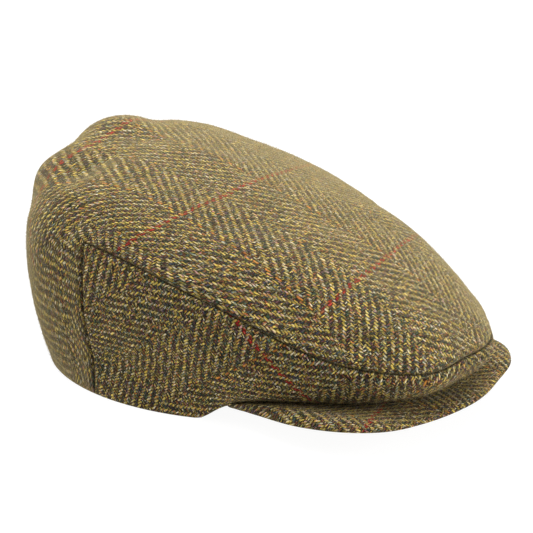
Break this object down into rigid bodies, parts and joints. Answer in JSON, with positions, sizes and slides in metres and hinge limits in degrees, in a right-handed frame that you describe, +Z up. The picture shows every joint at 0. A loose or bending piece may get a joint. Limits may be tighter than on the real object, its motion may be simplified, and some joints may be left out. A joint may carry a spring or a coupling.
{
  "type": "flat cap",
  "caption": "Tweed flat cap: a top panel that runs down the back, a side panel round each side to the front, and a stiff padded peak under the front roll.",
  "frame": {"origin": "middle of the cap's outline in plan, on the surface that the hem rests on", "axes": "+Z up, -Y towards the front of the peak, +X to the wearer's left"},
  "size_m": [0.1872, 0.263, 0.1239],
  "materials": {
    "tweed": "olive and gold herringbone wool with fine red and rust overchecks, matt and slightly hairy"
  },
  "bodies": {
    "root": {"top_panel": "tweed", "side_panel_right": "tweed", "side_panel_left": "tweed", "peak": "tweed"}
  },
  "joints": []
}
